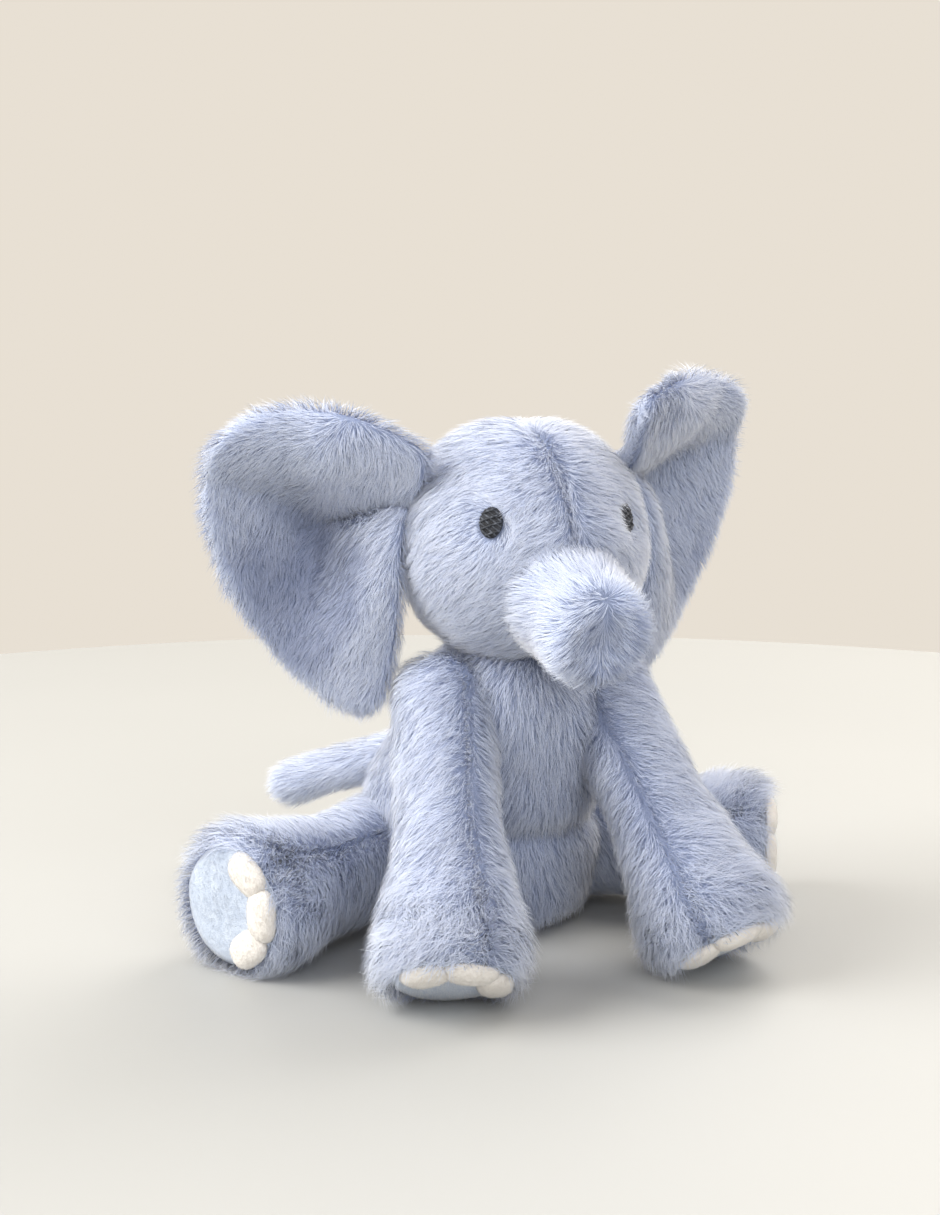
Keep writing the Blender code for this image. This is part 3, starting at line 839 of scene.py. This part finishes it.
# ---------------------------------------------------------------------------------------------
# Ears: two layers of fur fabric with thin wadding, pinched where they are sewn to the head. The
# pinch makes a pocket under the top edge, and the top edge and the rim curl forwards.
# ---------------------------------------------------------------------------------------------
EAR_OUTLINE = (
    (-0.010, 0.030),
    (-0.011, 0.044),
    (0.010, 0.0540),
    (0.034, 0.0590),
    (0.060, 0.0575),
    (0.080, 0.047),
    (0.089, 0.026),
    (0.086, -0.002),
    (0.074, -0.030),
    (0.054, -0.055),
    (0.032, -0.072),
    (0.018, -0.077),
    (0.010, -0.066),
    (0.005, -0.045),
    (0.001, -0.012),
    (-0.003, 0.010),
)
EAR_MIDDLE = Vector((0.044, 0.004))
EAR_THICKNESS = 0.0062
EAR_CUP = 0.017
EAR_CURL = 0.016
EAR_SWEEP = {"right": math.radians(31.0), "left": math.radians(37.0)}
EAR_RAISE = {"right": 0.0, "left": math.radians(3.0)}
EAR_TUCK = {"right": 0.0, "left": 0.015}
# How much painted shade darkens each ear's inside.
EAR_PAINTED_SHADE = {"right": 0.95, "left": 0.50}
EAR_FIBRES = 60000
SIGN = {"right": -1.0, "left": 1.0}


def closed_curve(points, count):
    """A smooth closed line through the points."""
    spots = []
    total = len(points)
    for number in range(count):
        place = number * total / count
        start = int(place)
        part = place - start
        a, b, c, d = (Vector(points[(start + step) % total]) for step in (-1, 0, 1, 2))
        spots.append(
            0.5
            * (
                2.0 * b
                + (c - a) * part
                + (2.0 * a - 5.0 * b + 4.0 * c - d) * part**2
                + (3.0 * b - a - 3.0 * c + d) * part**3
            )
        )
    return spots


def hill(reach, height, middle, size, turn=0.0):
    """A soft round or long hill of height 1 on the ear's flat pattern."""
    across, rise = reach - middle[0], height - middle[1]
    long = across * math.cos(turn) + rise * math.sin(turn)
    wide = -across * math.sin(turn) + rise * math.cos(turn)
    return math.exp(-((long / size[0]) ** 2) - (wide / size[1]) ** 2)


def ear_depth(reach, height):
    """How far the ear stands back of its flat pattern; forwards is less than zero."""
    share = reach / EAR_MIDDLE.x * 0.5
    hollow = math.sin(math.pi * min(1.0, share)) * 0.45
    curl = eased(min(1.0, max(0.0, (height - 0.030) / 0.030)))
    depth = EAR_CUP * (hollow - share * share) - EAR_CURL * curl
    depth += 0.0190 * hill(reach, height, (0.050, 0.004), (0.032, 0.024), math.radians(60.0))
    depth += 0.0140 * hill(reach, height, (0.020, 0.014), (0.030, 0.0070), math.radians(-14.0))
    depth -= 0.0130 * hill(reach, height, (0.016, -0.024), (0.036, 0.016), math.radians(-62.0))
    depth -= 0.0170 * hill(reach, height, (0.034, 0.040), (0.044, 0.013), math.radians(6.0))
    return depth


def ear_placing(side):
    root = joint_places[f"ear_{side}_flap"]
    return (
        Matrix.Translation(root)
        @ Matrix.Rotation(SIGN[side] * EAR_SWEEP[side], 4, "Z")
        @ Matrix.Rotation(-SIGN[side] * EAR_RAISE[side], 4, "Y")
    )


def ear_skin(side):
    outline = closed_curve(EAR_OUTLINE, 96)
    bm = bmesh.new()
    rings = []
    for share in (1.0, 0.955, 0.90, 0.83, 0.75, 0.66, 0.57, 0.48, 0.39, 0.30, 0.21, 0.12):
        made = bmesh.ops.create_circle(bm, cap_ends=False, radius=1.0, segments=len(outline))
        for vert, edge_place in zip(made["verts"], outline):
            tuck = EAR_TUCK[side] * hill(edge_place.x, edge_place.y, (-0.002, 0.048), (0.020, 0.014))
            place = EAR_MIDDLE + (edge_place + Vector((-tuck, 0.4 * tuck)) - EAR_MIDDLE) * share
            vert.co = Vector((SIGN[side] * place.x, ear_depth(place.x, place.y), place.y))
        rings.append({edge for vert in made["verts"] for edge in vert.link_edges})
    for outer, inner in zip(rings, rings[1:]):
        bmesh.ops.bridge_loops(bm, edges=list(outer | inner))
    bmesh.ops.contextual_create(bm, geom=list(rings[-1]))
    bmesh.ops.poke(bm, faces=[face for face in bm.faces if len(face.verts) > 4])
    bmesh.ops.recalc_face_normals(bm, faces=bm.faces[:])
    bmesh.ops.solidify(bm, geom=bm.faces[:], thickness=EAR_THICKNESS)
    for _ in range(3):
        bmesh.ops.smooth_vert(
            bm, verts=bm.verts[:], factor=0.5, use_axis_x=True, use_axis_y=True, use_axis_z=True
        )
    bmesh.ops.transform(bm, matrix=ear_placing(side), verts=bm.verts[:])
    return lumpy(bm, 0.0004, 0.03, 41)


def make_ear(side, seed):
    placing = ear_placing(side)
    back = placing.inverted()
    turn = np.array(placing.to_3x3())
    unturn = np.array(back.to_3x3())
    shift = np.array(back.translation)

    def pattern(places):
        flat = places @ unturn.T + shift
        return flat[:, 0] * SIGN[side], flat[:, 1], flat[:, 2]

    def flow(places, up):
        """Down and outwards, turning straight outwards at the rim and upwards along the top."""
        reach, _, height = pattern(places)
        away = np.stack((reach - EAR_MIDDLE.x, np.zeros(len(reach)), height - EAR_MIDDLE.y), axis=1)
        rim = ramped(np.abs(up @ turn[:, 1]) * -1.0, -0.80, -0.30)[:, None]
        away = unit(away)
        nap = np.array((0.38, 0.0, -0.92)) + 0.9 * away * ramped(height, 0.030, 0.050)[:, None]
        local = nap * (1.0 - rim) + (away + np.array((0.15, 0.0, -0.35))) * rim
        local[:, 0] *= SIGN[side]
        return local @ turn.T

    def trim(places, up):
        """Shorter inside the ear than on its rim and its back."""
        reach, depth, height = pattern(places)
        front = ramped(-(up @ turn[:, 1]), 0.3, 0.8)
        return 1.0 - 0.20 * front

    def shade(places, up):
        """Painted shade on the inside and in the pocket; the rim and the back are painted paler, as
        lit.
        """
        reach, depth, height = pattern(places)
        front = ramped(-(up @ turn[:, 1]), 0.2, 0.8)
        inner = 1.0 - ramped(np.hypot((reach - 0.045) / 0.043, (height + 0.012) / 0.066), 0.55, 1.0)
        pocket = np.exp(-(((reach - 0.012) / 0.022) ** 2) - ((height - 0.022) / 0.026) ** 2)
        return 1.20 - front * (EAR_PAINTED_SHADE[side] * inner + 0.45 * pocket * (1.0 - inner))

    name = f"ear_{side}"
    ear = finished(f"{name}_cloth", ear_skin(side), BACKING, name, (name,))
    grow_fur(f"{name}_fur", ear, EAR_FIBRES, flow, name, seed, trim=trim, shade=shade)


make_ear("right", 42)
make_ear("left", 43)

# ---------------------------------------------------------------------------------------------
# Legs: four stuffed tubes of fur fabric that widen into round feet. A seam runs down each one
# and shows as a parting. The front legs stand from the shoulders, the hind legs lie outwards.
# ---------------------------------------------------------------------------------------------
LEG_RADII = {"front": (0.0205, 0.0200, 0.0280), "hind": (0.0270, 0.0245, 0.0310)}
FOOT_START = 0.45
SEAM_DEPTH = 0.0017
LEG_JOINT = {"front": "front_leg_{}_lift", "hind": "hind_leg_{}_splay"}
SEAM_SIDE = {
    ("front", "right"): Vector((0.10, -1.0, 0.0)),
    ("front", "left"): Vector((-0.62, -1.0, 0.0)),
    ("hind", "right"): Vector((0.0, -0.75, 0.65)),
    ("hind", "left"): Vector((0.0, -0.75, 0.65)),
}
TOE_SIDE = Vector((0.0, -1.0, 0.0))
LEG_FIBRES = 42000
LEG_TONE = 1.0
# Painted shade: the left front leg's pile is darker by this tone.
PAINTED_SHADE_LEG_TONE = 0.72


def leg_line(kind, side):
    """The leg's joint, the middle of its sole and the way from one to the other."""
    joint = joint_places[LEG_JOINT[kind].format(side)]
    low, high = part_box(f"{kind}_foot_pad_{side}")
    sole = (low + high) / 2.0
    return joint, sole, (sole - joint).normalized()


def leg_skin(kind, side, seam):
    ball, shaft, foot = LEG_RADII[kind]
    joint, sole, way = leg_line(kind, side)
    length = (sole - joint).length - 0.0012
    profile = ball_profile(ball)
    for step in range(25):
        along = step / 24.0
        swell = eased(max(0.0, (along - FOOT_START) / (1.0 - FOOT_START)))
        root = 1.0 - eased(min(1.0, along / FOOT_START))
        radius = shaft + (foot - shaft) * swell + (ball - shaft) * root
        profile.append((radius, along * (length - 0.35 * foot)))
    for step in range(1, 7):
        angle = 0.5 * math.pi * step / 7
        profile.append(
            (
                foot - 0.17 * foot * (1.0 - math.cos(angle)),
                length - 0.35 * foot + 0.34 * foot * math.sin(angle),
            )
        )
    profile += [(foot * 0.78, length), (foot * 0.4, length), (0.0, length)]
    bm = spun(profile, joint, way, TOE_SIDE, 64)
    for vert in bm.verts:
        from_joint = vert.co - joint
        along = from_joint.dot(way) / length
        out = from_joint - way * from_joint.dot(way)
        if out.length > 0.001 and 0.0 < along < 0.86:
            angle = out.angle(seam)
            vert.co -= out.normalized() * SEAM_DEPTH * math.exp(-((angle / 0.10) ** 2))
    return lumpy(bm, 0.0006, 0.035, 51)


def make_leg(kind, side, seed, tone=LEG_TONE):
    joint, sole, way = leg_line(kind, side)
    seam = SEAM_SIDE[(kind, side)]
    seam = (seam - way * seam.dot(way)).normalized()
    reach = (sole - joint).length
    start, line, front = np.array(joint), np.array(way), np.array(seam)
    beside = np.cross(line, front)

    def spread(places):
        """Place along the leg from 0 to 1, and the angle round it from the seam."""
        from_joint = places - start
        along = from_joint @ line
        out = from_joint - along[:, None] * line
        return along / reach, np.arctan2(out @ beside, out @ front), unit(out)

    def flow(places, up):
        """Down the leg and round it, away from the seam; the foot's pile fans outwards."""
        along, angle, out = spread(places)
        round_way = np.cross(line, out)
        away = np.tanh(angle / 0.12) * np.clip(1.0 - np.abs(angle) / math.pi, 0.0, 1.0)
        strength = 0.95 * (1.0 - 0.6 * ramped(along, 0.7, 0.95))
        fan = 0.75 * ramped(along, 0.84, 1.0)
        fallen = np.array((0.0, 0.0, -0.35)) if kind == "hind" else np.zeros(3)
        return line * 0.8 + round_way * (away * strength)[:, None] + out * fan[:, None] + fallen

    def keep(places, up):
        """None on the sole, inside the body or in the seam's parting."""
        along, angle, _ = spread(places)
        radius = LEG_RADII[kind][1]
        seam_gap = (np.abs(angle) * radius < 0.0006) & (along < 0.84)
        buried = along * reach < -0.85 * LEG_RADII[kind][0]
        return np.where(seam_gap | buried | (up @ line > 0.93), 0.0, 1.0)

    def trim(places, up):
        """Shorter beside the seam and longer on the foot."""
        along, angle, _ = spread(places)
        beside_seam = 0.70 + 0.30 * ramped(np.abs(angle), 0.03, 0.30)
        return beside_seam * (1.0 + 0.32 * ramped(along, 0.6, 0.95))

    def shade(places, up):
        """Painted shade: darker beside the seam, where shade falls in its parting, and by the leg's
        tone.
        """
        _, angle, _ = spread(places)
        bend = angle + 0.05 * wavy(places, 0.018, seed + 9)
        return tone - 0.62 * np.exp(-((bend / 0.10) ** 2))

    def stand(places, up):
        """The pile stands up beside the seam, and on the foot, where it is ruffled."""
        along, angle, _ = spread(places)
        ruffle = 1.0 + 0.5 * wavy(places, 0.016, seed + 7)
        tufts = 0.9 * np.exp(-((angle / 0.16) ** 2))
        return 1.0 + tufts + 0.70 * ramped(along, 0.62, 0.92) * ruffle

    def unruly(places, up):
        """The foot's pile and the pile beside the seam point every way."""
        along, angle, _ = spread(places)
        return 1.0 + 1.6 * ramped(along, 0.62, 0.90) + 1.2 * np.exp(-((angle / 0.12) ** 2))

    name = f"{kind}_leg_{side}"
    skin = leg_skin(kind, side, seam)
    leg = finished(f"{name}_cloth", skin, BACKING, name, (name,))
    ways = {"keep": keep, "trim": trim, "shade": shade, "stand": stand, "unruly": unruly}
    grow_fur(f"{name}_fur", leg, LEG_FIBRES, flow, name, seed, **ways)


# Painted shade: the left front leg's pile is painted darker, for the shade of the head and body.
make_leg("front", "right", 61)
make_leg("front", "left", 62, PAINTED_SHADE_LEG_TONE)
make_leg("hind", "right", 63)
make_leg("hind", "left", 64)

# ---------------------------------------------------------------------------------------------
# Foot pads: round, softly domed soles of short pale-blue plush, sewn in to close each leg.
# ---------------------------------------------------------------------------------------------
PAD_DOME = 0.0030
PAD_SHARE = 0.88
PAD_NAP = 9000


def short_plush(name, low_colour, high_colour):
    """Short-cut plush: velvety, its nap brushed into faint lighter and darker patches."""
    material, tree, shader = new_material(name, 0.9, Sheen_Weight=0.35, Sheen_Roughness=0.5)
    mottled(tree, shader, 160.0, 4.0, low_colour, high_colour, 0.3, 0.7)
    place = add_node(tree, "ShaderNodeTexCoord").outputs["Object"]
    nap = add_node(tree, "ShaderNodeTexNoise", {"Scale": 1500.0, "Detail": 2.0}, {"Vector": place})
    bump = add_node(
        tree, "ShaderNodeBump", {"Strength": 0.8, "Distance": 0.0004}, {"Height": nap.outputs["Fac"]}
    )
    tree.links.new(bump.outputs["Normal"], shader.inputs["Normal"])
    return material


SOLE_PLUSH = short_plush("sole_plush", "B9C6DA", "CDD8E8")


def nap_on(piece, count, body, slot, material, length):
    """Short upright nap, brushed a little to one side."""
    grow_fur(
        f"{piece.name}_nap",
        piece,
        count,
        lambda places, up: np.tile((0.3, 0.2, -1.0), (len(places), 1)),
        body,
        90,
        length=length,
        lift=1.6,
        width=0.00020,
        material=material,
        slot=slot,
        pull=0.15,
    )


SOLE_NAP = fibre_colours("sole_nap", "A9B9D2", "C9D5E6", "E4EBF5")


def make_pad(kind, side):
    _, sole, way = leg_line(kind, side)
    radius = LEG_RADII[kind][2] * PAD_SHARE
    profile = [(0.0, -0.0016), (radius - 0.002, -0.0016), (radius - 0.0004, -0.0008)]
    for step in range(9):
        share = 1.0 - step / 8.0
        dome = math.sqrt(max(0.0, 1.0 - share**2.6))
        profile.append((radius * share, PAD_DOME * dome))
    profile[-1] = (0.0, PAD_DOME)
    bm = lumpy(spun(profile, sole, way, TOE_SIDE, 48), 0.0003, 0.02, 71)
    node = f"{kind}_foot_pad_{side}"
    body = f"{kind}_leg_{side}"
    sole_pad = finished(f"{node}_plush", bm, SOLE_PLUSH, body, (node,))
    nap_on(sole_pad, PAD_NAP, body, "sole_plush", SOLE_NAP, 0.0018)


for foot_kind in ("front", "hind"):
    for foot_side in ("right", "left"):
        make_pad(foot_kind, foot_side)

# ---------------------------------------------------------------------------------------------
# Nails: three stuffed lobes of white short plush on the toe side of each pad. They touch, and
# the stitching between them pulls each one into a round cushion.
# ---------------------------------------------------------------------------------------------
NAIL_HALF_LENGTH = (0.0112, 0.0122, 0.0112)
NAIL_HALF_WIDTH = 0.0080
NAIL_HEIGHT = 0.0050
NAIL_FIBRES = 2200
NAIL_PLUSH = short_plush("nail_plush", "EAE6E0", "F7F3ED")
NAIL_NAP = fibre_colours("nail_nap", "D2CCC4", "F0EAE2", "FBF6F0")


def make_nails(kind, side):
    _, sole, way = leg_line(kind, side)
    foot = LEG_RADII[kind][2] * PAD_SHARE
    toe = (TOE_SIDE - way * TOE_SIDE.dot(way)).normalized()
    for number, place in enumerate(("inner", "middle", "outer")):
        node = f"{kind}_nail_{place}_{side}"
        low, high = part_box(node)
        spot = (low + high) / 2.0 - sole
        spot -= way * spot.dot(way)
        out = spot.normalized()
        bm = bmesh.new()
        bmesh.ops.create_uvsphere(bm, u_segments=32, v_segments=20, radius=1.0)
        for vert in bm.verts:
            x, y, z = vert.co
            square = (abs(x) ** 2.6 + abs(y) ** 2.6 + abs(z) ** 2.0) ** (-1.0 / 2.4)
            x, y, z = x * square, y * square, z * square
            flat = 1.0 if z > 0.0 else 0.35
            vert.co = Vector(
                (
                    x * NAIL_HALF_WIDTH,
                    y * NAIL_HALF_LENGTH[number],
                    z * NAIL_HEIGHT * flat,
                )
            )
        turn = Matrix((out, way.cross(out), way)).transposed().to_4x4()
        centre = sole + out * (foot - NAIL_HALF_WIDTH * 0.80) + way * 0.0014
        bmesh.ops.transform(bm, matrix=Matrix.Translation(centre) @ turn, verts=bm.verts[:])
        body = f"{kind}_leg_{side}"
        nail = finished(f"{node}_plush", bm, NAIL_PLUSH, body, (node,))
        nap_on(nail, NAIL_FIBRES, body, "nail_plush", NAIL_NAP, 0.0016)


for foot_kind in ("front", "hind"):
    for foot_side in ("right", "left"):
        make_nails(foot_kind, foot_side)

# ---------------------------------------------------------------------------------------------
# Tail: a short thin stuffed tube of the same fur fabric, closed with a round end.
# ---------------------------------------------------------------------------------------------
TAIL_RADIUS = 0.0080
TAIL_LENGTH = 0.098
TAIL_FIBRES = 12000
# Painted light: the tail's pile is painted paler than the body's, as lit.
TAIL_PAINTED_LIGHT = 1.40
tail_joint = joint_places["tail_swing"]
tail_low, tail_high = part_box("tail")
tail_end = Vector((tail_low.x, tail_high.y, tail_low.z)) + Vector((1.0, -1.0, 1.0)) * TAIL_RADIUS
TAIL_WAY = (tail_end - tail_joint).normalized()


def tail_skin():
    profile = [(0.0, -0.004)]
    for step in range(1, 7):
        angle = 0.5 * math.pi * step / 7
        profile.append((TAIL_RADIUS * math.sin(angle), TAIL_RADIUS * (1.0 - math.cos(angle)) - 0.004))
    for step in range(13):
        along = step / 12.0
        profile.append((TAIL_RADIUS * (1.0 + 0.12 * along), 0.006 + along * (TAIL_LENGTH - 0.016)))
    for step in range(1, 8):
        angle = 0.5 * math.pi * step / 8
        radius = TAIL_RADIUS * 1.12
        profile.append((radius * math.cos(angle), TAIL_LENGTH - 0.010 + 0.010 * math.sin(angle)))
    profile.append((0.0, TAIL_LENGTH))
    return lumpy(spun(profile, tail_joint, TAIL_WAY, UP, 32), 0.0004, 0.02, 81)


def tail_flow(places, up):
    """Along the tail to its end."""
    return np.tile(np.array(TAIL_WAY), (len(places), 1)) + np.array((0.0, 0.0, -0.15))


tail = finished("tail_cloth", tail_skin(), BACKING, "tail", ("tail",))
grow_fur(
    "tail_fur", tail, TAIL_FIBRES, tail_flow, "tail", 82, lift=1.1, shade=lambda places, up: TAIL_PAINTED_LIGHT
)

bpy.context.view_layer.update()
